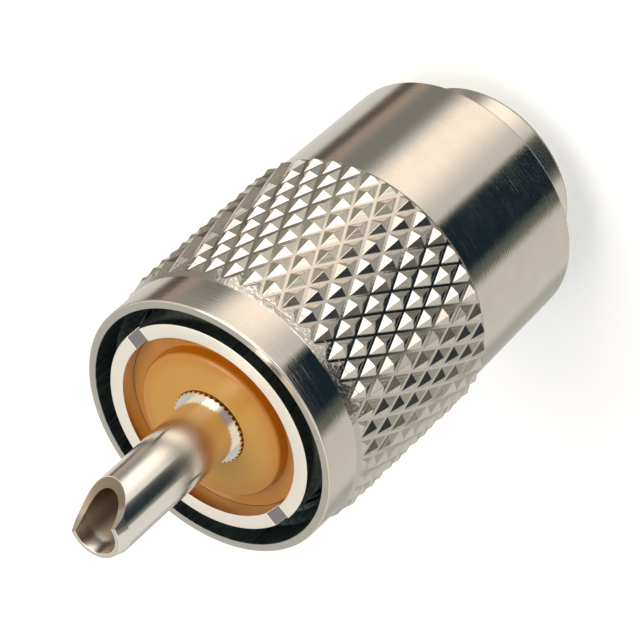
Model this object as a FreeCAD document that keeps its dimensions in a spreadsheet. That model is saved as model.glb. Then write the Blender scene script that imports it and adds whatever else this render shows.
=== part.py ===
"""UHF plug for coaxial cable: coupling ring, plug body, insulator and hollow centre pin.

The plug stands on the rear face of its tail with the pin upwards. The origin is on the axis at that
rear face, +Z points to the pin, and the two notches of the plug body lie along X. Millimetres.
"""
import FreeCAD, Part
import math
import os

import Sketcher

# Two places nearer than this, in millimetres, are the same place
NEAR = 1e-4

DOC = FreeCAD.newDocument("uhf_plug")
SHEET = DOC.addObject("Spreadsheet::Sheet", "Sizes")

# Each driving size: its name, its value in millimetres, degrees or pieces, and what it is
SIZES = (
    ("face_height", 29.0, "collar face above the rear face of the tail"),
    ("thread_major", 15.875, "outside of the 5/8-24 coupling thread"),
    ("thread_depth", 0.5625, "coupling thread from its outside to its bore"),
    ("ring_length", 25.6, "coupling ring from rim to rear face"),
    ("ring_wall", 0.66, "ring wall outside the coupling thread"),
    ("ring_thread_length", 8.5, "threaded stretch behind the rim"),
    ("mouth_step", 0.68, "counterbore at the rim, outside the bore of the thread"),
    ("mouth_depth", 2.0, "depth of that counterbore, down to its 45 degree cone"),
    ("relief_gap", 0.08, "running clearance of the ring over the body's thread"),
    ("lip_length", 4.6, "inward lip at the rear of the ring"),
    ("lip_gap", 0.3, "clearance of the lip round the tail"),
    ("sleeve_taper", 0.24, "how much the sleeve's radius drops to the rear"),
    ("edge_break", 0.12, "small chamfer on turned outer edges"),
    ("knurl_start", 2.7, "plain band in front of the knurl"),
    ("knurl_length", 13.15, "knurled stretch"),
    ("knurl_raise", 0.4, "knurl tips above the plain band"),
    ("knurl_depth", 0.32, "knurl tips above the groove roots"),
    ("knurl_bed", 0.2, "how far the knurled skin reaches below the roots"),
    ("knurl_lead_in", 1.0, "sloping run of the knurl's front end"),
    ("knurl_run_out", 0.5, "sloping run of the knurl's rear end"),
    ("knurl_count", 41, "pyramids round the ring"),
    ("knurl_row", 1.39, "one row of pyramids to the next"),
    ("knurl_first", 4.29, "first full row of tips behind the rim"),
    ("knurl_turn", -86.4, "where a tip of that row stands, in degrees"),
    ("knurl_drift", 0.3, "sideways drift of each next row, in degrees"),
    ("stop_gap", 0.05, "gap left where the ring rests on the body's thread"),
    ("collar_gap", 0.375, "collar inside the bore of the thread"),
    ("collar_wall", 0.91, "wall of the collar round the insulator"),
    ("collar_length", 3.6, "length of the collar"),
    ("notch_width", 1.4, "mouth of each V notch in the collar face"),
    ("notch_depth", 0.7, "depth of each V notch"),
    ("waist_step", 0.65, "waist below the collar's outside"),
    ("solder_hole", 3.2, "diameter of the solder holes in the waist"),
    ("body_thread_length", 5.5, "thread on the body that holds the ring captive"),
    ("thread_chamfer", 0.5, "chamfers at the ends of that thread"),
    ("tail_diameter", 12.26, "outside of the tail"),
    ("tail_chamfer", 0.3, "chamfer at the tail's rear edge"),
    ("cable_bore", 10.2, "bore of the 7/16-28 thread for the cable or a reducer"),
    ("cable_depth", 12.0, "depth of that bore"),
    ("cable_cone", 0.8, "cone between the cable bore and the braid bore"),
    ("braid_bore", 8.6, "bore that the braid is soldered in"),
    ("seat_depth", 3.4, "insulator seat below the collar face"),
    ("seat_gap", 0.02, "fit of the insulator in its seat and round the pin"),
    ("groove_width", 1.16, "groove between the collar and the insulator's raised disc"),
    ("disc_drop", 0.18, "disc face below the collar face"),
    ("disc_round", 0.35, "rounded edge of the disc"),
    ("groove_depth", 1.1, "groove floor below the collar face"),
    ("hub_diameter", 6.4, "insulator hub behind the seat"),
    ("hub_length", 1.2, "length of that hub"),
    ("pin_diameter", 4.0, "outside of the centre pin"),
    ("pin_wall", 0.52, "wall of the hollow pin"),
    ("pin_reach", 10.85, "pin tip beyond the collar face"),
    ("shank_diameter", 3.5, "pin shank in the insulator"),
    ("shank_tail", 1.0, "shank behind the insulator's hub"),
    ("funnel_length", 0.5, "funnel for the conductor at the shank's end"),
    ("funnel_wall", 0.15, "edge left round that funnel"),
    ("shoulder_diameter", 4.84, "toothed shoulder at the insulator's face"),
    ("shoulder_length", 1.0, "length of the shoulder below the collar face"),
    ("tooth_count", 40, "teeth round the shoulder"),
    ("tooth_depth", 0.13, "depth of the teeth"),
    ("tip_length", 0.8, "tapered end of the pin"),
    ("tip_drop", 0.22, "how much the pin's radius drops there"),
    ("scoop_radius", 5.2, "radius of the cutter that opens the pin's tip"),
    ("scoop_start", 2.73, "how far below the tip the opening starts"),
    ("scoop_land", 0.13, "where the opening ends at the tip, beside the axis"),
    ("scoop_turn", -19.0, "side that the opening faces, in degrees"),
)
for row, (name, value, meaning) in enumerate(SIZES, start=1):
    SHEET.set("A%d" % row, meaning)
    SHEET.set("B%d" % row, str(value))
    SHEET.setAlias("B%d" % row, name)
DOC.recompute()

# Radii that more than one piece is built on, from the coupling thread inwards
CREST = "$thread_major / 2"
THREAD_BORE = CREST + " - $thread_depth"
COLLAR = THREAD_BORE + " - $collar_gap"
COLLAR_BORE = COLLAR + " - $collar_wall"


def size(name):
    """Value of a driving size, for the stretches that plain functions build."""
    return float(SHEET.get(name))


def bound(text):
    """Expression on the sheet: each size's name is written as $name."""
    return text.replace("$", "Sizes.")


def origin_plane(body, role):
    """One of the body's own origin planes or axes."""
    return [part for part in body.Origin.OriginFeatures if part.Role == role][0]


def new_body(name):
    body = DOC.addObject("PartDesign::Body", name)
    body.Label = name
    return body


def new_sketch(body, name, role):
    sketch = body.newObject("Sketcher::SketchObject", name)
    sketch.AttachmentSupport = [(origin_plane(body, role), "")]
    sketch.MapMode = "FlatFace"
    return sketch


def place_point(sketch, edge, end, across, up):
    """Bind one end of an edge to two expressions, measured from the sketch's origin."""
    for kind, text in (("DistanceX", across), ("DistanceY", up)):
        index = sketch.addConstraint(Sketcher.Constraint(kind, -1, 1, edge, end, 1.0))
        sketch.setExpression("Constraints[%d]" % index, bound(text))


def outline(sketch, corners):
    """Closed outline through corners, each given as two expressions on the sheet."""
    count = len(corners)
    spots = [FreeCAD.Vector(math.cos(i * math.tau / count), math.sin(i * math.tau / count), 0)
             for i in range(count)]
    for i in range(count):
        sketch.addGeometry(Part.LineSegment(spots[i], spots[(i + 1) % count]), False)
    for i in range(count):
        sketch.addConstraint(Sketcher.Constraint("Coincident", i, 2, (i + 1) % count, 1))
    for i, (across, up) in enumerate(corners):
        place_point(sketch, i, 1, across, up)


def turned(body, name, corners):
    """Full turn of a half section about Z: radius first, then height."""
    sketch = new_sketch(body, name + "_section", "XZ_Plane")
    outline(sketch, corners)
    turn = body.newObject("PartDesign::Revolution", name)
    turn.Profile = sketch
    turn.ReferenceAxis = (sketch, ["V_Axis"])
    turn.Angle = 360
    return turn


def through_cut(body, name, sketch):
    """Pocket to both sides of its sketch, right through the piece."""
    cut = body.newObject("PartDesign::Pocket", name)
    cut.Profile = sketch
    cut.Type = 1
    cut.Midplane = True
    return cut


def widest_circle(shape, height):
    """Name of the widest round edge that a turned shape has at one height."""
    circles = [(edge.Curve.Radius, "Edge%d" % index)
               for index, edge in enumerate(shape.Edges, start=1)
               if isinstance(edge.Curve, Part.Circle) and abs(edge.Curve.Center.z - height) < NEAR]
    return max(circles)[1]


def make_plug_body():
    """Turned body: tail, captive thread, waist with solder holes, notched collar."""
    body = new_body("plug_body")
    tail = "$tail_diameter / 2"
    waist = COLLAR + " - $waist_step"
    thread_top = "$face_height - $ring_thread_length - $stop_gap"
    thread_foot = thread_top + " - $body_thread_length"
    turned(body, "body_turning", (
        ("$cable_bore / 2", "0"),
        (tail + " - $tail_chamfer", "0"),
        (tail, "$tail_chamfer"),
        (tail, thread_foot),
        (CREST + " - $thread_chamfer", thread_foot),
        (CREST, thread_foot + " + $thread_chamfer"),
        (CREST, thread_top + " - $thread_chamfer"),
        (CREST + " - $thread_chamfer", thread_top),
        (waist, thread_top),
        (waist, "$face_height - $collar_length"),
        (COLLAR, "$face_height - $collar_length"),
        (COLLAR, "$face_height - $edge_break"),
        (COLLAR + " - $edge_break", "$face_height"),
        (COLLAR_BORE, "$face_height"),
        (COLLAR_BORE, "$face_height - $seat_depth"),
        ("$braid_bore / 2", "$face_height - $seat_depth"),
        ("$braid_bore / 2", "$cable_depth + $cable_cone"),
        ("$cable_bore / 2", "$cable_depth"),
    ))
    notch = new_sketch(body, "notch_section", "YZ_Plane")
    outline(notch, (
        ("-$notch_width", "$face_height + $notch_depth"),
        ("0", "$face_height - $notch_depth"),
        ("$notch_width", "$face_height + $notch_depth"),
    ))
    through_cut(body, "notches", notch)

    hole = new_sketch(body, "solder_hole_circle", "XZ_Plane")
    hole.addGeometry(Part.Circle(FreeCAD.Vector(0, 1, 0), FreeCAD.Vector(0, 0, 1), 1), False)
    place_point(hole, 0, 3, "0", "$face_height - ($collar_length + $ring_thread_length) / 2")
    index = hole.addConstraint(Sketcher.Constraint("Diameter", 0, 2.0))
    hole.setExpression("Constraints[%d]" % index, bound("$solder_hole"))
    holes = through_cut(body, "solder_hole_pair", hole)
    pattern = body.newObject("PartDesign::PolarPattern", "solder_holes")
    pattern.Originals = [holes]
    pattern.Axis = (origin_plane(body, "Z_Axis"), [""])
    pattern.Angle = 180
    pattern.Occurrences = 2
    body.Tip = pattern
    return body


def make_insulator():
    """Moulded insulator: raised disc, groove floor, seat flange and hub."""
    body = new_body("insulator")
    seat = COLLAR_BORE + " - $seat_gap"
    disc = COLLAR_BORE + " - $groove_width"
    shank = "$shank_diameter / 2 + $seat_gap"
    pocket = "$shoulder_diameter / 2 + $seat_gap"
    foot = "$face_height - $seat_depth"
    pocket_floor = "$face_height - $shoulder_length"
    turning = turned(body, "insulator_turning", (
        (shank, foot + " - $hub_length"),
        ("$hub_diameter / 2", foot + " - $hub_length"),
        ("$hub_diameter / 2", foot),
        (seat, foot),
        (seat, "$face_height - $groove_depth"),
        (disc, "$face_height - $groove_depth"),
        (disc, "$face_height - $disc_drop"),
        (pocket, "$face_height - $disc_drop"),
        (pocket, pocket_floor),
        (shank, pocket_floor),
    ))
    DOC.recompute()
    disc_face = size("face_height") - size("disc_drop")
    edge = body.newObject("PartDesign::Fillet", "disc_edge")
    edge.Base = (turning, [widest_circle(turning.Shape, disc_face)])
    edge.setExpression("Radius", bound("$disc_round"))
    body.Tip = edge
    return body


def make_centre_pin():
    """Hollow turned pin: toothed shoulder, tapered tip and the opening that shows the bore."""
    body = new_body("centre_pin")
    pin = "$pin_diameter / 2"
    bore = pin + " - $pin_wall"
    tip = "$face_height + $pin_reach"
    foot = "$face_height - $seat_depth - $hub_length - $shank_tail"
    turned(body, "pin_turning", (
        ("$shank_diameter / 2 - $funnel_wall", foot),
        ("$shank_diameter / 2", foot),
        ("$shank_diameter / 2", "$face_height - $shoulder_length"),
        ("$shoulder_diameter / 2", "$face_height - $shoulder_length"),
        ("$shoulder_diameter / 2", "$face_height"),
        (pin, "$face_height"),
        (pin, tip + " - $tip_length"),
        (pin + " - $tip_drop", tip),
        (bore, tip),
        (bore, foot + " + $funnel_length"),
    ))

    # The V between two teeth is drawn twice as deep as it cuts, and so twice as wide
    tooth = new_sketch(body, "tooth_gap_section", "XY_Plane")
    root = "$shoulder_diameter / 2 - $tooth_depth"
    mouth = "$shoulder_diameter / 2 + $tooth_depth"
    half_pitch = "(" + mouth + ") * sin(180 / $tooth_count)"
    outline(tooth, (
        (root, "0"),
        (mouth, "2 * " + half_pitch),
        (mouth, "-2 * " + half_pitch),
    ))
    gap = through_cut(body, "tooth_gap", tooth)
    teeth = body.newObject("PartDesign::PolarPattern", "teeth")
    teeth.Originals = [gap]
    teeth.Axis = (origin_plane(body, "Z_Axis"), [""])
    teeth.Angle = 360
    teeth.setExpression("Occurrences", bound("$tooth_count"))
    body.Tip = teeth

    # The cutter's circle passes the pin's side where the opening starts and a point at the tip
    scoop = new_sketch(body, "scoop_circle", "XZ_Plane")
    scoop.addGeometry(Part.Circle(FreeCAD.Vector(5, 40, 0), FreeCAD.Vector(0, 0, 1), 5), False)
    run = "($pin_diameter / 2 - $scoop_land)"
    chord = "sqrt(" + run + " * " + run + " + $scoop_start * $scoop_start)"
    rise = "sqrt($scoop_radius * $scoop_radius - " + chord + " * " + chord + " / 4)"
    place_point(
        scoop, 0, 3,
        "($pin_diameter / 2 + $scoop_land) / 2 + " + rise + " * $scoop_start / " + chord,
        tip + " - $scoop_start / 2 + " + rise + " * " + run + " / " + chord,
    )
    index = scoop.addConstraint(Sketcher.Constraint("Radius", 0, 5.0))
    scoop.setExpression("Constraints[%d]" % index, bound("$scoop_radius"))
    through_cut(body, "scoop", scoop)
    body.setExpression("Placement.Rotation.Angle", bound("$scoop_turn"))
    return body


def knurled_skin():
    """Tube whose outside is the diamond knurl: pointed pyramids between two families of grooves.

    A row holds the pyramids' tips, with groove crossings at the same height between them, and
    each next row is half a pyramid further round. Both ends slope in to the plain band.
    """
    count = int(size("knurl_count"))
    step = math.tau / count
    drift = math.radians(size("knurl_drift"))
    band = size("thread_major") / 2 + size("ring_wall")
    tip_radius = band + size("knurl_raise")
    root_radius = tip_radius - size("knurl_depth")
    bed_radius = root_radius - size("knurl_bed")
    row_pitch = size("knurl_row")
    first = size("face_height") - size("knurl_first")
    top = size("face_height") - size("knurl_start")
    foot = top - size("knurl_length")

    def spot(radius, across, row):
        """Point of the lattice: one that would lie past an end lies in that end's face."""
        turn = math.radians(size("knurl_turn")) + step * across - drift * row
        height = min(max(first - row_pitch * row, foot), top)
        return FreeCAD.Vector(radius * math.cos(turn), radius * math.sin(turn), height)

    def root(across, row):
        return spot(root_radius, across, row)

    def cut_back(distance, run):
        """How far down its ridge, in rows, a sloping end cuts a tip at a distance from that end."""
        slope = size("knurl_raise") / run
        missing = size("knurl_raise") - slope * distance
        return max(missing / (size("knurl_depth") + slope * row_pitch), 0)

    def tip(across, row):
        height = first - row_pitch * row
        slide = (cut_back(top - height, size("knurl_lead_in"))
                 - cut_back(height - foot, size("knurl_run_out")))
        if abs(slide) >= 1:
            return root(across, row)
        return spot(tip_radius - size("knurl_depth") * abs(slide), across, row + slide)

    faces = []
    rows_above = math.ceil((top - first) / row_pitch)
    rows_below = math.ceil((first - foot) / row_pitch)
    for row in range(-rows_above, rows_below + 1):
        for place in range(count):
            across = place + row / 2
            peak = tip(across, row)
            around = (root(across, row - 1), root(across + 0.5, row),
                      root(across, row + 1), root(across - 0.5, row))
            for one, two in zip(around, around[1:] + around[:1]):
                if any(foot + NEAR < corner.z < top - NEAR for corner in (peak, two, one)):
                    faces.append(Part.Face(Part.makePolygon([peak, two, one, peak])))
    bed = Part.makeCylinder(bed_radius, top - foot, FreeCAD.Vector(0, 0, foot))
    faces.extend(face for face in bed.Faces if isinstance(face.Surface, Part.Cylinder))
    for level in (top, foot):
        rim_edges = [edge for face in faces for edge in face.Edges
                     if all(abs(vertex.Z - level) < NEAR for vertex in edge.Vertexes)]
        wires = [Part.Wire(chain) for chain in Part.sortEdges(rim_edges)]
        faces.append(Part.makeFace(wires, "Part::FaceMakerBullseye"))
    shell = Part.makeShell(faces)
    shell.sewShape()
    return Part.makeSolid(shell)


def make_coupling_ring():
    """Turned ring with its thread's bore, relief and rear lip, and the pressed knurl."""
    rim = "$face_height"
    band = CREST + " + $ring_wall"
    knurl_top = rim + " - $knurl_start"
    knurl_foot = knurl_top + " - $knurl_length"
    core = band + " + $knurl_raise - $knurl_depth - $knurl_bed / 2"
    rear = rim + " - $ring_length"
    relief = CREST + " + $relief_gap"
    lip = "$tail_diameter / 2 + $lip_gap"
    turning = new_body("ring_turning")
    turned(turning, "ring_section", (
        (THREAD_BORE + " + $mouth_step", rim),
        (band + " - $edge_break", rim),
        (band, rim + " - $edge_break"),
        (band, knurl_top),
        (core, knurl_top),
        (core, knurl_foot),
        (band, knurl_foot),
        (band + " - $sleeve_taper", rear + " + $edge_break"),
        (band + " - $sleeve_taper - $edge_break", rear),
        (lip, rear),
        (lip, rear + " + $lip_length"),
        (relief, rear + " + $lip_length"),
        (relief, rim + " - $ring_thread_length"),
        (THREAD_BORE, rim + " - $ring_thread_length"),
        (THREAD_BORE, rim + " - $mouth_depth - $mouth_step"),
        (THREAD_BORE + " + $mouth_step", rim + " - $mouth_depth"),
    ))
    skin = DOC.addObject("Part::Feature", "knurled_skin")
    skin.Shape = knurled_skin()
    ring = DOC.addObject("Part::Fuse", "coupling_ring")
    ring.Base = turning
    ring.Tool = skin
    ring.Label = "coupling_ring"
    return ring


PIECES = (make_plug_body(), make_insulator(), make_centre_pin(), make_coupling_ring())
DOC.recompute()

for item in DOC.Objects:
    if "Invalid" in item.State or "Error" in item.State:
        raise RuntimeError("failed: " + item.Name)
os.makedirs("parts", exist_ok=True)
for piece in PIECES:
    shape = piece.Shape
    if shape.isNull() or not shape.isValid() or len(shape.Solids) != 1:
        raise RuntimeError("not one valid solid: " + piece.Label)
for piece in PIECES:
    piece.Shape.exportStep("parts/" + piece.Label + ".step")
    print(piece.Label, round(piece.Shape.Volume, 3), len(piece.Shape.Faces))
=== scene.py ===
"""UHF plug: dressed pieces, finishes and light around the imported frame.

Lengths in this file are millimetres; finished meshes are brought to metres in the frame's own place.
"""

import math

import bmesh
import bpy
from mathutils import Matrix, Vector


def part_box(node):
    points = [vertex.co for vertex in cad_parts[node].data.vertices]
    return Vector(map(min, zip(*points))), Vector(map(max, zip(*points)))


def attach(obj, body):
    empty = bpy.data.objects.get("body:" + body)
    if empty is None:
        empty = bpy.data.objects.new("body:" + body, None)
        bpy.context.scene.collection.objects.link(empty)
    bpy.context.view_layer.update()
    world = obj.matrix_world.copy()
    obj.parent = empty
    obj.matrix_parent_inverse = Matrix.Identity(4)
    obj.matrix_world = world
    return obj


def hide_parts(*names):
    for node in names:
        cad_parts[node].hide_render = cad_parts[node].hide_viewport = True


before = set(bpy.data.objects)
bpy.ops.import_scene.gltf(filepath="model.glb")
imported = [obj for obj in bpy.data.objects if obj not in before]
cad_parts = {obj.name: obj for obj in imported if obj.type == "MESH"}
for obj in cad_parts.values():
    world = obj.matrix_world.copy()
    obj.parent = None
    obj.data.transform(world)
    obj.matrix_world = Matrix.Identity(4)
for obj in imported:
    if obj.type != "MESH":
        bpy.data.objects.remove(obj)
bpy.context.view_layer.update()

MM = 0.001
FULL_TURN = math.tau


def box_mm(node):
    """Lowest and highest corner of a node of the frame, in millimetres."""
    low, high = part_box(node)
    return low / MM, high / MM


# Levels and radii that the frame gives
RING_LOW, RING_HIGH = box_mm("coupling_ring")
BODY_LOW, BODY_HIGH = box_mm("plug_body")
PIN_LOW, PIN_HIGH = box_mm("centre_pin")
INSULATOR_LOW, INSULATOR_HIGH = box_mm("insulator")
RIM = RING_HIGH.z
RING_REAR = RING_LOW.z
TAIL_FACE = BODY_LOW.z
PIN_TIP = PIN_HIGH.z
PIN_FOOT = PIN_LOW.z
INSULATOR_FOOT = INSULATOR_LOW.z
DISC_FACE = INSULATOR_HIGH.z
SEAT_RADIUS = INSULATOR_HIGH.x
SHOULDER_RADIUS = PIN_HIGH.x
CREST_RADIUS = BODY_HIGH.x

# Sizes of the coupling ring
THREAD_DEPTH = 0.5625
THREAD_PITCH = 25.4 / 24
KNURL_TIP = 9.0
KNURL_RAISE = 0.4
KNURL_DEPTH = 0.32
KNURL_BED = 0.2
KNURL_START = 2.7
KNURL_LENGTH = 13.15
KNURL_LEAD_IN = 1.0
KNURL_RUN_OUT = 0.5
KNURL_COUNT = 41
KNURL_ROW = 1.39
KNURL_FIRST = 4.29
KNURL_TURN = -86.4
KNURL_DRIFT = 0.3
GROOVE_FLOOR = 0.18
SLEEVE_TAPER = 0.24
LIP_LENGTH = 4.6
LIP_GAP = 0.3
RELIEF_GAP = 0.08
RING_THREAD_LENGTH = 8.5
MOUTH_STEP = 0.68
MOUTH_DEPTH = 2.0

# Sizes of the plug body
COLLAR_GAP = 0.375
COLLAR_WALL = 0.91
COLLAR_LENGTH = 3.6
WAIST_STEP = 0.65
STOP_GAP = 0.05
BODY_THREAD_LENGTH = 5.5
TAIL_RADIUS = 6.13
CABLE_BORE = 5.1
CABLE_DEPTH = 12.0
CABLE_CONE = 0.8
CABLE_THREAD_PITCH = 25.4 / 28
CABLE_THREAD_DEPTH = 0.45
BRAID_BORE = 4.3
SEAT_DEPTH = 3.4
NOTCH_WIDTH = 1.4
NOTCH_DEPTH = 0.7
SOLDER_HOLE = 3.2

# Sizes of the insulator
GROOVE_WIDTH = 1.16
GROOVE_DEPTH = 1.1
DISC_ROUND = 0.35
HUB_RADIUS = 3.2
PIN_FIT = 0.02

# Sizes of the centre pin
PIN_RADIUS = 2.0
PIN_WALL = 0.52
SHANK_RADIUS = 1.75
SHOULDER_LENGTH = 1.0
TOOTH_COUNT = 40
TOOTH_DEPTH = 0.13
TIP_LENGTH = 0.8
TIP_DROP = 0.22
FUNNEL_LENGTH = 0.5
FUNNEL_WALL = 0.15
SCOOP_RADIUS = 5.2
SCOOP_START = 2.73
SCOOP_LAND = 0.13
SCOOP_TURN = -19.0

# Roundings of edges
FINE_EDGE = 0.03
SEAT_EDGE = 0.05
COLLAR_EDGE = 0.06
SOFT_EDGE = 0.1
BROKEN_EDGE = 0.12
ENTRY_EDGE = 0.15
TAIL_EDGE = 0.3
THREAD_END_EDGE = 0.45

# How far a thread cutter stands out of the wall it cuts, and how far its point stays off full depth
CUTTER_OVERLAP = 0.05
RING_ROOT_GAP = 0.05
BODY_ROOT_GAP = 0.1

# Radii and levels that several pieces share
THREAD_BORE = CREST_RADIUS - THREAD_DEPTH
COLLAR_RADIUS = THREAD_BORE - COLLAR_GAP
COLLAR_BORE = COLLAR_RADIUS - COLLAR_WALL
WAIST_RADIUS = COLLAR_RADIUS - WAIST_STEP
DISC_RADIUS = COLLAR_BORE - GROOVE_WIDTH
BORE_RADIUS = PIN_RADIUS - PIN_WALL
BAND_RADIUS = KNURL_TIP - KNURL_RAISE
KNURL_ROOT = KNURL_TIP - KNURL_DEPTH
KNURL_TOP = RIM - KNURL_START
KNURL_FOOT = KNURL_TOP - KNURL_LENGTH

# One pyramid of the knurl: its half width round the ring, half the way across it from groove to
# groove, and its height above the flat bottom of the groove
HALF_WIDTH = KNURL_ROOT * FULL_TURN / KNURL_COUNT / 2
HALF_ACROSS = HALF_WIDTH * KNURL_ROW / math.hypot(HALF_WIDTH, KNURL_ROW)
PYRAMID_HEIGHT = KNURL_DEPTH * (1 - GROOVE_FLOOR / 2 / HALF_ACROSS)
GROOVE_RADIUS = KNURL_TIP - PYRAMID_HEIGHT

# Middle of the round cutter that opens the pin's tip
SCOOP_RUN = PIN_RADIUS - SCOOP_LAND
SCOOP_CHORD = math.hypot(SCOOP_RUN, SCOOP_START)
SCOOP_RISE = math.sqrt(SCOOP_RADIUS ** 2 - SCOOP_CHORD ** 2 / 4)
SCOOP_ACROSS = (PIN_RADIUS + SCOOP_LAND) / 2 + SCOOP_RISE * SCOOP_START / SCOOP_CHORD
SCOOP_LEVEL = PIN_TIP - SCOOP_START / 2 + SCOOP_RISE * SCOOP_RUN / SCOOP_CHORD

# Steps round a turned piece, fine enough that no facet shows
RING_STEPS = 360
BODY_STEPS = 288
PIN_STEPS = 192
SCOOP_STEPS = 256
THREAD_STEPS = 96
DRILL_STEPS = 48
ROUNDING_STEPS = 6

# Edges that turn by more than this, in degrees, stay sharp
CREASE = 20
PIN_CREASE = 12


# Mesh helpers

def new_mesh_object(name, shape):
    """Object from a bmesh, linked to the scene."""
    bmesh.ops.recalc_face_normals(shape, faces=shape.faces)
    mesh = bpy.data.meshes.new(name)
    shape.to_mesh(mesh)
    shape.free()
    piece = bpy.data.objects.new(name, mesh)
    bpy.context.scene.collection.objects.link(piece)
    return piece


def lathe(name, corners, steps):
    """Closed half section turned about Z. A corner is its radius, its height and its rounding."""
    shape = bmesh.new()
    points = [shape.verts.new((radius, 0, height)) for radius, height, _ in corners]
    for one, two in zip(points, points[1:] + points[:1]):
        shape.edges.new((one, two))
    for rounding in sorted({corner[2] for corner in corners if corner[2]}):
        rounded = [point for point, corner in zip(points, corners) if corner[2] == rounding]
        bmesh.ops.bevel(shape, geom=rounded, offset=rounding, offset_type="OFFSET", affect="VERTICES",
                        segments=ROUNDING_STEPS, profile=0.5, material=-1)
    bmesh.ops.spin(shape, geom=shape.verts[:] + shape.edges[:], cent=(0, 0, 0), axis=(0, 0, 1),
                   angle=FULL_TURN, steps=steps, use_merge=True)
    return new_mesh_object(name, shape)


def thread_cutter(name, mouth_radius, point_radius, pitch, low, high):
    """Helical cutter of a 60 degree V: its mouth at one radius, its point at the other."""
    half_angle = math.radians(30)
    half_mouth = abs(mouth_radius - point_radius) * math.tan(half_angle)
    shape = bmesh.new()
    corners = [shape.verts.new(spot) for spot in (
        (mouth_radius, 0, low - half_mouth),
        (point_radius, 0, low),
        (mouth_radius, 0, low + half_mouth),
    )]
    start = shape.faces.new(corners)
    count = round(THREAD_STEPS * (high - low) / pitch)
    bmesh.ops.spin(shape, geom=[start] + start.edges[:] + corners, cent=(0, 0, 0), axis=(0, 0, 1),
                   dvec=(0, 0, pitch / THREAD_STEPS), angle=FULL_TURN * count / THREAD_STEPS, steps=count,
                   use_merge=False)
    return new_mesh_object(name, shape)


def cylinder(name, radius, length, place, steps):
    """Closed cylinder in a given place and direction, for cutting."""
    shape = bmesh.new()
    bmesh.ops.create_cone(shape, cap_ends=True, segments=steps, radius1=radius, radius2=radius,
                          depth=length, matrix=place)
    return new_mesh_object(name, shape)


def combine(piece, tool, operation):
    """Exact boolean of a tool into a piece; the tool is used up."""
    step = piece.modifiers.new(operation.lower(), "BOOLEAN")
    step.operation = operation
    step.object = tool
    step.solver = "EXACT"
    graph = bpy.context.evaluated_depsgraph_get()
    result = bpy.data.meshes.new_from_object(piece.evaluated_get(graph))
    piece.modifiers.clear()
    spent = piece.data
    piece.data = result
    bpy.data.meshes.remove(spent)
    bpy.data.objects.remove(tool)
    return piece


def finish_piece(piece, node, body, material, crease):
    """Bring a piece to metres, set its creases and put it in the frame.

    Edges sharper than the crease, in degrees, stay sharp; weighted normals keep long faces true
    beside their small roundings.
    """
    piece.data.transform(Matrix.Scale(MM, 4))
    piece.data.shade_smooth()
    piece.data.set_sharp_from_angle(angle=math.radians(crease))
    piece.modifiers.new("true_faces", "WEIGHTED_NORMAL").keep_sharp = True
    piece.data.materials.clear()
    piece.data.materials.append(material)
    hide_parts(node)
    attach(piece, body)
    return piece


# Material helpers

def linear(colour, strength=1.0):
    """Linear colour with full alpha from an sRGB hex value; a strength over 1 passes white."""
    channels = [int(colour[place:place + 2], 16) / 255 for place in (1, 3, 5)]
    return [strength * (part / 12.92 if part <= 0.04045 else ((part + 0.055) / 1.055) ** 2.4)
            for part in channels] + [1.0]


def add(tree, kind, inputs=None, **settings):
    """Add a node. An input is a value, a socket, or a node that stands for its first output."""
    made = tree.nodes.new("ShaderNode" + kind)
    for name, value in settings.items():
        setattr(made, name, value)
    for key, value in (inputs or {}).items():
        if isinstance(value, bpy.types.Node):
            value = value.outputs[0]
        if isinstance(value, bpy.types.NodeSocket):
            tree.links.new(value, made.inputs[key])
        else:
            made.inputs[key].default_value = value
    return made


def maths(tree, operation, *values):
    """Math node on one to three values."""
    return add(tree, "Math", dict(enumerate(values)), operation=operation)


def map_range(tree, value, source, target, curve="LINEAR"):
    """Bring a value from one range to another; it stays within the second."""
    (low, high), (first, last) = source, target
    return add(tree, "MapRange", {0: value, 1: low, 2: high, 3: first, 4: last},
               interpolation_type=curve)


def mix(tree, share, one, two):
    """Value between two others: the first at a share of 0, the second at 1."""
    return add(tree, "Mix", {0: share, 2: one, 3: two})


def mix_colours(tree, share, one, two):
    """Colour between two others, in the same way."""
    return add(tree, "Mix", {0: share, 6: one, 7: two}, data_type="RGBA").outputs[2]


def new_material(name):
    """Material with an empty node tree, and that tree."""
    material = bpy.data.materials.new(name)
    material.use_nodes = True
    material.node_tree.nodes.clear()
    return material, material.node_tree


def place_on_piece(tree):
    """Place in millimetres, with the distance from the axis and the height, from Object coordinates."""
    metres = add(tree, "TexCoord").outputs["Object"]
    place = add(tree, "VectorMath", {0: metres, "Scale": 1 / MM}, operation="SCALE")
    flat = add(tree, "VectorMath", {0: place, 1: (1, 1, 0)}, operation="MULTIPLY")
    radius = add(tree, "VectorMath", {0: flat}, operation="LENGTH").outputs["Value"]
    height = add(tree, "SeparateXYZ", {0: place}).outputs["Z"]
    return place, radius, height


def within(tree, value, low, high, edge):
    """1 where a value lies between two bounds, falling to 0 over a soft edge outside them."""
    rise = map_range(tree, value, (low - edge, low), (0.0, 1.0), "SMOOTHSTEP")
    fall = map_range(tree, value, (high, high + edge), (1.0, 0.0), "SMOOTHSTEP")
    return maths(tree, "MULTIPLY", rise, fall)


def turning_marks(tree, place, radius, height):
    """Relief of a turned surface: rings round the axis, on sides and faces alike, and short streaks.

    The rings are drawn at about 9 to a millimetre, twice as coarse as a fine cut leaves them, so
    that they show.
    """
    along = maths(tree, "ADD", radius, height)
    rings = add(tree, "TexNoise", {"W": along, "Scale": 9.0, "Detail": 2.0}, noise_dimensions="1D")
    stretched = add(tree, "VectorMath", {0: place, 1: (2.2, 2.2, 9.0)}, operation="MULTIPLY")
    streaks = add(tree, "TexNoise", {"Vector": stretched, "Scale": 1.0, "Detail": 3.0})
    return maths(tree, "ADD", rings, streaks)


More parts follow.
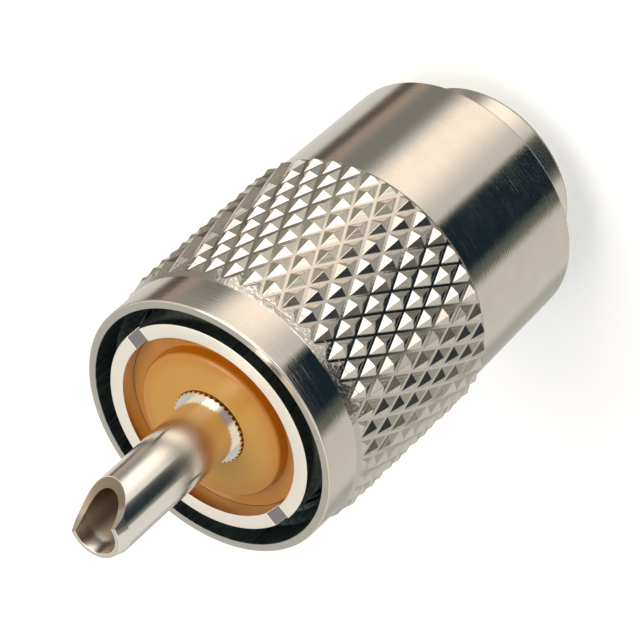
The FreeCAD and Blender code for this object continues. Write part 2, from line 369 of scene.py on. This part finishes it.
def groove_marks(tree, place, height):
    """Fine lines that the knurling wheel left on each pyramid side, along the groove beside it.

    They are drawn at about 6 to a millimetre, measured across the groove.
    """
    parts = add(tree, "SeparateXYZ", {0: place}).outputs
    turn = maths(tree, "ARCTAN2", parts["Y"], parts["X"])
    normal = add(tree, "TexCoord").outputs["Normal"]
    sideways = add(tree, "VectorMath", {0: place, 1: normal}, operation="CROSS_PRODUCT")
    lean = maths(tree, "MULTIPLY", add(tree, "SeparateXYZ", {0: sideways}).outputs["Z"],
                 add(tree, "SeparateXYZ", {0: normal}).outputs["Z"])
    side = maths(tree, "SIGN", lean)
    across = maths(tree, "MULTIPLY", turn, KNURL_ROOT * KNURL_ROW)
    along = maths(tree, "MULTIPLY", height, HALF_WIDTH)
    line = maths(tree, "MULTIPLY_ADD", along, side, across)
    return add(tree, "TexNoise", {"W": line, "Scale": 4.0, "Detail": 3.0}, noise_dimensions="1D")


def nickel_finish():
    """Bright nickel plate on turned brass: a warm grey mirror, softened by the turning rings.

    Edges are worn round. The knurl shows the wheel's fine lines instead of rings, its grooves are
    painted greyer at the bottom as shade, and its front slope is smeared and rough. The inside of
    the ring, from the thread's mouth in, is painted dark as shade of the deep gap, streaked along the
    axis.
    """
    material, tree = new_material("bright nickel plate")
    place, radius, height = place_on_piece(tree)
    on_knurl = within(tree, height, KNURL_FOOT, KNURL_TOP, edge=0.01)
    on_slope = within(tree, height, KNURL_TOP - KNURL_LEAD_IN, KNURL_TOP, edge=0.1)
    inside = within(tree, radius, 0.0, THREAD_BORE + MOUTH_STEP + 0.02, edge=0.02)
    rings = turning_marks(tree, place, radius, height)
    lines = groove_marks(tree, place, height)
    smears = add(tree, "TexNoise", {"Vector": place, "Scale": 3.5, "Detail": 3.0, "Distortion": 0.6})
    marks = mix(tree, on_knurl, rings, lines)
    smeared = maths(tree, "MULTIPLY", smears, 5.0)
    marks = mix(tree, on_slope, marks, smeared)
    worn = add(tree, "Bevel", {"Radius": 0.06 * MM}, samples=4)
    relief = add(tree, "Bump", {"Strength": 0.8, "Distance": 0.005 * MM, "Height": marks, "Normal": worn})
    # Painted shade: the whole inside of the ring, from the thread's mouth in, is tinted dark in streaks
    # along the axis, for the shade of the deep gap round the collar.
    upright = add(tree, "VectorMath", {0: place, 1: (6.0, 6.0, 0.4)}, operation="MULTIPLY")
    streaks = add(tree, "TexNoise", {"Vector": upright, "Scale": 1.0, "Detail": 2.0})
    gap_shade = map_range(tree, streaks, (0.3, 0.7), (0.12, 0.4))
    clouds = add(tree, "TexNoise", {"Vector": place, "Scale": 0.8, "Detail": 4.0})
    tint = mix_colours(tree, clouds, linear("#dad3c8"), linear("#cfc9be"))
    # Painted shade: the bottoms of the knurl's grooves are tinted greyer.
    bottom = within(tree, radius, 0.0, GROOVE_RADIUS + 0.012, edge=0.01)
    groove_shade = maths(tree, "MULTIPLY", bottom, on_knurl)
    tint = mix_colours(tree, groove_shade, tint, linear("#cac4ba"))
    dark = add(tree, "VectorMath", {0: linear("#c8e0e8")[:3], "Scale": gap_shade}, operation="SCALE")
    tint = mix_colours(tree, inside, tint, dark)
    dulling = map_range(tree, clouds, (0.3, 0.7), (0.07, 0.13))
    dulling = mix(tree, inside, dulling, 0.35)
    surface = add(tree, "BsdfPrincipled", {
        "Base Color": tint, "Metallic": 1.0, "Roughness": dulling, "Normal": relief})
    add(tree, "OutputMaterial", {0: surface})
    return material


def satin_silver_finish():
    """Satin silver plate on the turned body: soft reflections, and a matt collar face painted near-white
    as light.

    Edges are worn round, so that the notches' edges catch the light.
    """
    material, tree = new_material("satin silver plate")
    place, radius, height = place_on_piece(tree)
    marks = turning_marks(tree, place, radius, height)
    worn = add(tree, "Bevel", {"Radius": 0.08 * MM}, samples=4)
    relief = add(tree, "Bump", {"Strength": 0.5, "Distance": 0.004 * MM, "Height": marks, "Normal": worn})
    # Painted light: the collar face gets a lighter tint than the rest of the plating; its higher
    # roughness is its matt finish.
    lit_face = within(tree, height, RIM - 0.02, RIM + 1.0, edge=0.02)
    tint = mix_colours(tree, lit_face, linear("#e0dbd0"), linear("#f4f1ea"))
    dulling = mix(tree, lit_face, 0.2, 0.5)
    surface = add(tree, "BsdfPrincipled", {
        "Base Color": tint, "Metallic": 1.0, "Roughness": dulling, "Normal": relief})
    add(tree, "OutputMaterial", {0: surface})
    return material


def bright_silver_finish():
    """Bright silver plate on the pin: clear bands along it, blurred lengthwise by its turning rings.

    The bore and the cut at its side are dull and brown, except near the tip, where they stay bright.
    """
    material, tree = new_material("bright silver plate")
    place, radius, height = place_on_piece(tree)
    marks = turning_marks(tree, place, radius, height)
    relief = add(tree, "Bump", {"Strength": 0.35, "Distance": 0.003 * MM, "Height": marks})
    in_bore = within(tree, radius, 0.0, PIN_RADIUS - 0.05, edge=0.03)
    off_tip = within(tree, height, PIN_FOOT, PIN_TIP - 1.5, edge=0.7)
    dull = maths(tree, "MULTIPLY", in_bore, off_tip)
    tint = mix_colours(tree, dull, linear("#efeae1"), linear("#a89884"))
    dulling = mix(tree, dull, 0.14, 0.5)
    round_axis = add(tree, "Tangent", direction_type="RADIAL", axis="Z")
    surface = add(tree, "BsdfPrincipled", {
        "Base Color": tint, "Metallic": 1.0, "Roughness": dulling, "Normal": relief,
        "Anisotropic": 0.9, "Anisotropic Rotation": 0.25, "Tangent": round_axis})
    add(tree, "OutputMaterial", {0: surface})
    return material


def amber_finish():
    """Moulded amber thermoset with a glossy skin; painted light and shade make it paler where it faces up
    and deep orange at edges and in the groove.
    """
    material, tree = new_material("moulded amber thermoset")
    _, radius, _ = place_on_piece(tree)
    normal = add(tree, "TexCoord").outputs["Normal"]
    # Painted light and shade: surfaces that face up get a paler tint, less of it towards the disc's edge;
    # sides, edges and the groove keep the deep orange.
    facing_up = add(tree, "SeparateXYZ", {0: normal}).outputs["Z"]
    lit_face = within(tree, facing_up, 0.85, 1.5, edge=0.5)
    off_edge = map_range(tree, radius, (DISC_RADIUS - 1.2, DISC_RADIUS), (1.0, 0.5), "SMOOTHSTEP")
    pale = maths(tree, "MULTIPLY", lit_face, off_edge)
    tint = mix_colours(tree, pale, linear("#be6c00"), linear("#ca953e"))
    surface = add(tree, "BsdfPrincipled", {"Base Color": tint, "Roughness": 0.25, "IOR": 1.55})
    add(tree, "OutputMaterial", {0: surface})
    return material


# Pieces

def knurl_lattice():
    """Closed tube with pointed pyramids between two families of flat-bottomed grooves.

    It is laid out flat, x round the ring and y along it, then wrapped; its ends are ragged and
    are cut to length by the envelope.
    """
    tube_bore = KNURL_ROOT - 1.5 * KNURL_BED
    first = RIM - KNURL_FIRST
    rows_above = math.ceil((KNURL_FIRST - KNURL_START) / KNURL_ROW)
    rows_below = math.ceil((KNURL_START + KNURL_LENGTH - KNURL_FIRST) / KNURL_ROW)
    shape = bmesh.new()
    for row in range(-rows_above, rows_below + 1):
        for place in range(KNURL_COUNT):
            across = (2 * place + row) * HALF_WIDTH
            along = first - row * KNURL_ROW
            corners = [shape.verts.new(spot) for spot in (
                (across, along + KNURL_ROW, 0),
                (across - HALF_WIDTH, along, 0),
                (across, along - KNURL_ROW, 0),
                (across + HALF_WIDTH, along, 0),
            )]
            shape.faces.new(corners)
    pyramids = shape.faces[:]
    shape.normal_update()
    bmesh.ops.inset_individual(shape, faces=pyramids, thickness=GROOVE_FLOOR / 2, depth=0,
                               use_even_offset=True)
    bmesh.ops.poke(shape, faces=pyramids, offset=PYRAMID_HEIGHT, center_mode="MEAN")
    for point in shape.verts:
        row = (first - point.co.y) / KNURL_ROW
        turn = math.radians(KNURL_TURN - KNURL_DRIFT * row) + point.co.x / KNURL_ROOT
        radius = GROOVE_RADIUS + point.co.z
        point.co = (radius * math.cos(turn), radius * math.sin(turn), point.co.y)
    bmesh.ops.remove_doubles(shape, verts=shape.verts, dist=0.001)
    ragged = [edge for edge in shape.edges if edge.is_boundary]
    inward = bmesh.ops.extrude_edge_only(shape, edges=ragged)["geom"]
    for point in (item for item in inward if isinstance(item, bmesh.types.BMVert)):
        point.co.xy = point.co.xy.normalized() * tube_bore
    bore_edges = [item for item in inward if isinstance(item, bmesh.types.BMEdge)]
    bmesh.ops.bridge_loops(shape, edges=bore_edges)
    return new_mesh_object("knurl_lattice", shape)


def knurl_skin():
    """Knurl cut to length, with its two sloping ends and blunt tips."""
    tip_blunting = 0.012
    outside = KNURL_TIP - tip_blunting
    inside = KNURL_ROOT - KNURL_BED
    envelope = lathe("knurl_envelope", (
        (inside, KNURL_FOOT, 0),
        (BAND_RADIUS, KNURL_FOOT, 0),
        (outside, KNURL_FOOT + KNURL_RUN_OUT, 0),
        (outside, KNURL_TOP - KNURL_LEAD_IN, 0),
        (BAND_RADIUS, KNURL_TOP, 0),
        (inside, KNURL_TOP, 0),
    ), RING_STEPS)
    return combine(envelope, knurl_lattice(), "INTERSECT")


def coupling_ring(material):
    """Turned ring: counterbored rim, plain band, knurl, tapered sleeve, rear lip, relief and thread."""
    core = KNURL_ROOT - KNURL_BED / 2
    sleeve_end = BAND_RADIUS - SLEEVE_TAPER
    lip_bore = TAIL_RADIUS + LIP_GAP
    relief = CREST_RADIUS + RELIEF_GAP
    mouth = THREAD_BORE + MOUTH_STEP
    ring = lathe("ring", (
        (mouth, RIM, FINE_EDGE),
        (BAND_RADIUS, RIM, BROKEN_EDGE),
        (BAND_RADIUS, KNURL_TOP, 0),
        (core, KNURL_TOP, 0),
        (core, KNURL_FOOT, 0),
        (BAND_RADIUS, KNURL_FOOT, 0),
        (sleeve_end, RING_REAR, BROKEN_EDGE),
        (lip_bore, RING_REAR, SOFT_EDGE),
        (lip_bore, RING_REAR + LIP_LENGTH, FINE_EDGE),
        (relief, RING_REAR + LIP_LENGTH, FINE_EDGE),
        (relief, RIM - RING_THREAD_LENGTH, FINE_EDGE),
        (THREAD_BORE, RIM - RING_THREAD_LENGTH, 0),
        (THREAD_BORE, RIM - MOUTH_DEPTH - MOUTH_STEP, 0),
        (mouth, RIM - MOUTH_DEPTH, 0),
    ), RING_STEPS)
    combine(ring, knurl_skin(), "UNION")
    cutter = thread_cutter("ring_thread_cutter", THREAD_BORE - CUTTER_OVERLAP,
                           CREST_RADIUS - RING_ROOT_GAP, THREAD_PITCH,
                           RIM - RING_THREAD_LENGTH - THREAD_PITCH, RIM - MOUTH_DEPTH)
    combine(ring, cutter, "DIFFERENCE")
    return finish_piece(ring, "coupling_ring", "ring", material, CREASE)


def plug_body(material):
    """Turned body: threaded tail, captive thread, waist with solder holes, collar with two V notches."""
    thread_top = RIM - RING_THREAD_LENGTH - STOP_GAP
    thread_foot = thread_top - BODY_THREAD_LENGTH
    body = lathe("body", (
        (CABLE_BORE, TAIL_FACE, ENTRY_EDGE),
        (TAIL_RADIUS, TAIL_FACE, TAIL_EDGE),
        (TAIL_RADIUS, thread_foot, 0),
        (CREST_RADIUS, thread_foot, THREAD_END_EDGE),
        (CREST_RADIUS, thread_top, THREAD_END_EDGE),
        (WAIST_RADIUS, thread_top, SOFT_EDGE),
        (WAIST_RADIUS, RIM - COLLAR_LENGTH, SOFT_EDGE),
        (COLLAR_RADIUS, RIM - COLLAR_LENGTH, SOFT_EDGE),
        (COLLAR_RADIUS, RIM, COLLAR_EDGE),
        (COLLAR_BORE, RIM, FINE_EDGE),
        (COLLAR_BORE, RIM - SEAT_DEPTH, 0),
        (BRAID_BORE, RIM - SEAT_DEPTH, FINE_EDGE),
        (BRAID_BORE, CABLE_DEPTH + CABLE_CONE, 0),
        (CABLE_BORE, CABLE_DEPTH, 0),
    ), BODY_STEPS)
    captive = thread_cutter("captive_thread_cutter", CREST_RADIUS + CUTTER_OVERLAP,
                            THREAD_BORE + BODY_ROOT_GAP, THREAD_PITCH,
                            thread_foot - THREAD_PITCH, thread_top + THREAD_PITCH)
    combine(body, captive, "DIFFERENCE")
    cable = thread_cutter("cable_thread_cutter", CABLE_BORE - CUTTER_OVERLAP,
                          CABLE_BORE + CABLE_THREAD_DEPTH, CABLE_THREAD_PITCH,
                          TAIL_FACE - CABLE_THREAD_PITCH, CABLE_DEPTH - CABLE_THREAD_PITCH)
    combine(body, cable, "DIFFERENCE")
    # A square bar that lies on its edge cuts both notches; it stands clear above the rim
    through = 4 * COLLAR_RADIUS
    sides = 4
    half_diagonal = NOTCH_WIDTH
    notch = cylinder("notch_cutter", half_diagonal, through,
                     Matrix.Translation((0, 0, RIM - NOTCH_DEPTH + half_diagonal))
                     @ Matrix.Rotation(math.pi / 2, 4, "Y"), sides)
    combine(body, notch, "DIFFERENCE")
    hole_level = RIM - (COLLAR_LENGTH + RING_THREAD_LENGTH) / 2
    for turn in (0, math.pi / 2):
        drill = cylinder("solder_drill", SOLDER_HOLE / 2, through,
                         Matrix.Translation((0, 0, hole_level)) @ Matrix.Rotation(turn, 4, "Z")
                         @ Matrix.Rotation(math.pi / 2, 4, "Y"), DRILL_STEPS)
        combine(body, drill, "DIFFERENCE")
    return finish_piece(body, "plug_body", "plug", material, CREASE)


def insulator(material):
    """Moulded insulator: raised disc with a rounded edge, groove, seat flange and hub."""
    pocket = SHOULDER_RADIUS + PIN_FIT
    shank_hole = SHANK_RADIUS + PIN_FIT
    seat = RIM - SEAT_DEPTH
    groove = RIM - GROOVE_DEPTH
    shoulder_foot = RIM - SHOULDER_LENGTH
    piece = lathe("insulator_disc", (
        (shank_hole, INSULATOR_FOOT, 0),
        (HUB_RADIUS, INSULATOR_FOOT, SOFT_EDGE),
        (HUB_RADIUS, seat, 0),
        (SEAT_RADIUS, seat, SEAT_EDGE),
        (SEAT_RADIUS, groove, 0),
        (DISC_RADIUS, groove, ENTRY_EDGE),
        (DISC_RADIUS, DISC_FACE, DISC_ROUND),
        (pocket, DISC_FACE, FINE_EDGE),
        (pocket, shoulder_foot, 0),
        (shank_hole, shoulder_foot, 0),
    ), BODY_STEPS)
    return finish_piece(piece, "insulator", "plug", material, CREASE)


def toothed_shoulder():
    """Short gear-like disc at the foot of the pin's working length."""
    shape = bmesh.new()
    outline = bmesh.ops.create_circle(shape, cap_ends=True, segments=2 * TOOTH_COUNT,
                                      radius=SHOULDER_RADIUS)["verts"]
    for point in outline[::2]:
        point.co *= 1 - TOOTH_DEPTH / SHOULDER_RADIUS
    risen = bmesh.ops.extrude_face_region(shape, geom=shape.faces[:])["geom"]
    top = [item for item in risen if isinstance(item, bmesh.types.BMVert)]
    bmesh.ops.translate(shape, verts=top, vec=(0, 0, SHOULDER_LENGTH))
    bmesh.ops.translate(shape, verts=shape.verts, vec=(0, 0, RIM - SHOULDER_LENGTH))
    return new_mesh_object("toothed_shoulder", shape)


def centre_pin(material):
    """Hollow turned pin: shank, toothed shoulder, tapered tip, side opening."""
    pin = lathe("pin", (
        (SHANK_RADIUS - FUNNEL_WALL, PIN_FOOT, 0),
        (SHANK_RADIUS, PIN_FOOT, 0),
        (SHANK_RADIUS, RIM - SHOULDER_LENGTH, 0),
        (PIN_RADIUS, RIM - SHOULDER_LENGTH, 0),
        (PIN_RADIUS, PIN_TIP - TIP_LENGTH, 0),
        (PIN_RADIUS - TIP_DROP, PIN_TIP, FINE_EDGE),
        (BORE_RADIUS, PIN_TIP, FINE_EDGE),
        (BORE_RADIUS, PIN_FOOT + FUNNEL_LENGTH, 0),
    ), PIN_STEPS)
    shoulder = toothed_shoulder()
    overlap = 0.1
    shoulder_bore = cylinder("shoulder_bore", PIN_RADIUS - overlap, 4 * SHOULDER_LENGTH,
                             Matrix.Translation((0, 0, RIM)), PIN_STEPS)
    combine(shoulder, shoulder_bore, "DIFFERENCE")
    combine(pin, shoulder, "UNION")
    place = (Matrix.Rotation(math.radians(SCOOP_TURN), 4, "Z")
             @ Matrix.Translation((SCOOP_ACROSS, 0, SCOOP_LEVEL)) @ Matrix.Rotation(math.pi / 2, 4, "X"))
    scoop = cylinder("scoop_cutter", SCOOP_RADIUS, 5 * PIN_RADIUS, place, SCOOP_STEPS)
    combine(pin, scoop, "DIFFERENCE")
    return finish_piece(pin, "centre_pin", "plug", material, PIN_CREASE)


# Camera: the photograph's viewpoint, fitted to the plug's outlines

def add_camera():
    data = bpy.data.cameras.new("camera")
    data.sensor_width = 36.0
    data.lens = 266.67
    data.clip_start = 0.01
    data.clip_end = 10.0
    camera = bpy.data.objects.new("camera", data)
    right = Vector((-0.61482, -0.54154, -0.57335))
    up = Vector((0.78303, -0.33240, -0.52571))
    back = right.cross(up)
    turn = Matrix((right, up, back)).transposed().to_4x4()
    place = Vector((26.56, -216.31, 193.52)) * MM
    camera.matrix_world = Matrix.Translation(place) @ turn
    bpy.context.scene.collection.objects.link(camera)
    bpy.context.scene.camera = camera


# Floor, world and lamp

def add_floor():
    """Plain pale floor: white to the camera, with the plug's soft shadow; mirror rays pass it."""
    half_width = 2000
    shape = bmesh.new()
    bmesh.ops.create_grid(shape, x_segments=1, y_segments=1, size=half_width)
    floor = new_mesh_object("floor", shape)
    floor.data.transform(Matrix.Scale(MM, 4))
    material, tree = new_material("matt white paper")
    ray = add(tree, "LightPath").outputs
    paper = add(tree, "BsdfDiffuse", {"Color": linear("#f4f4f2")})
    glow = add(tree, "Emission", {"Color": linear("#ffffff"), "Strength": 0.4})
    lit = add(tree, "AddShader", {0: paper, 1: glow})
    seen = add(tree, "MixShader", {0: ray["Is Camera Ray"], 1: paper, 2: lit})
    clear = add(tree, "BsdfTransparent")
    mirrored = add(tree, "MixShader", {0: ray["Is Glossy Ray"], 1: seen, 2: clear})
    add(tree, "OutputMaterial", {0: mirrored})
    material.cycles.emission_sampling = "NONE"
    floor.data.materials.append(material)


# What the plating mirrors, as soft-edged areas of the room round the plug: what it is, its bounds
# and soft edges in azimuth (from, full, full, to) and in height (the same), its colour and strength.
# Angles are in degrees, and each area lies over those before it.
ROOM = (
    ("table", (-200, -190, 190, 200), (-100, -91, -56, -48), "#b4b3ae", 1.0),
    ("pale cloth", (-130, -100, -50, -20), (-67, -65, -52, -46), "#eeeae0", 1.0),
    ("cloth's shade", (-142, -132, -16, 10), (-91, -90, -63.5, -61.5), "#7a7974", 1.0),
    ("ceiling", (-200, -190, 190, 200), (15, 40, 91, 100), "#fff6e8", 1.1),
    ("beam", (50, 76, 118, 144), (20, 30, 48, 58), "#cfcfcb", 1.0),
    ("dim loft", (-140, -118, -78, -56), (24, 36, 64, 76), "#8a8590", 1.0),
    ("grey wall", (100, 115, 138, 156), (-60, -50, -30, -20), "#b9bbb6", 1.0),
    ("dim corner", (-24, -6, 6, 50), (-60, -50, -36, -28), "#8f8f8a", 1.0),
    ("dim wall", (-16, -4, 46, 60), (-38, -30, -4, 6), "#a8a698", 1.0),
    ("brown chair", (12, 21, 25, 30), (-60, -50, -36, -26), "#b5a495", 1.0),
    ("chair's shadow", (25, 31, 40, 50), (-60, -50, -36, -26), "#6f6358", 1.0),
    ("door frame", (-154, -143, -90, -84), (-54, -48, -31, -27), "#6a7068", 1.0),
    ("dark doorway", (-141, -131, -94, -88), (-54, -48, -31, -27), "#1a2a36", 1.0),
    ("door frame's top", (-154, -143, -106, -96), (-31, -27, 0, 12), "#77756e", 1.0),
    ("doorway's top", (-138, -130, -114, -104), (-31, -27, 0, 12), "#3c4146", 1.0),
    ("window's glow", (-80, -46, -34, -14), (-56, -46, -36, -22), "#fff2e6", 1.5),
    ("window", (-98, -84, -30, -8), (-30, -20, -6, 3), "#fffaf0", 2.6),
)


def add_world():
    """Room of soft-edged areas for mirror rays, plain even light for all others."""
    world = bpy.data.worlds.new("room")
    bpy.context.scene.world = world
    world.use_nodes = True
    tree = world.node_tree
    tree.nodes.clear()
    direction = add(tree, "TexCoord").outputs["Generated"]
    parts = add(tree, "SeparateXYZ", {0: direction}).outputs
    turn = maths(tree, "ARCTAN2", parts["Y"], parts["X"])
    height = maths(tree, "ARCSINE", parts["Z"])
    turn = maths(tree, "DEGREES", turn)
    height = maths(tree, "DEGREES", height)
    room = linear("#e4e2de")
    for _, turns, heights, colour, strength in ROOM:
        share = 1.0
        for angle, (start, full, last, end) in ((turn, turns), (height, heights)):
            rise = map_range(tree, angle, (start, full), (0.0, 1.0), "SMOOTHSTEP")
            fall = map_range(tree, angle, (last, end), (1.0, 0.0), "SMOOTHSTEP")
            share = maths(tree, "MULTIPLY", share, rise)
            share = maths(tree, "MULTIPLY", share, fall)
        room = mix_colours(tree, share, room, linear(colour, strength))
    mirrored = add(tree, "LightPath").outputs["Is Glossy Ray"]
    seen = mix_colours(tree, mirrored, linear("#ffffff", 0.6), room)
    background = add(tree, "Background", {"Color": seen, "Strength": 1.0})
    add(tree, "OutputWorld", {0: background})
    world.cycles.sampling_method = "NONE"


def add_lamp(name, place, size, power, colour):
    """Square soft box that looks at the middle of the plug."""
    data = bpy.data.lights.new(name, "AREA")
    data.size = size * MM
    data.energy = power
    data.color = linear(colour)[:3]
    lamp = bpy.data.objects.new(name, data)
    place = Vector(place)
    aim = Vector((0, 0, RIM / 2)) - place
    lamp.matrix_world = Matrix.Translation(place * MM) @ aim.to_track_quat("-Z", "Y").to_matrix().to_4x4()
    bpy.context.scene.collection.objects.link(lamp)


add_camera()
coupling_ring(nickel_finish())
plug_body(satin_silver_finish())
insulator(amber_finish())
centre_pin(bright_silver_finish())
add_floor()
add_world()
add_lamp("soft_box", place=(200, -100, 400), size=300, power=0.9, colour="#fff6ea")

bpy.context.scene.view_settings.view_transform = "Standard"
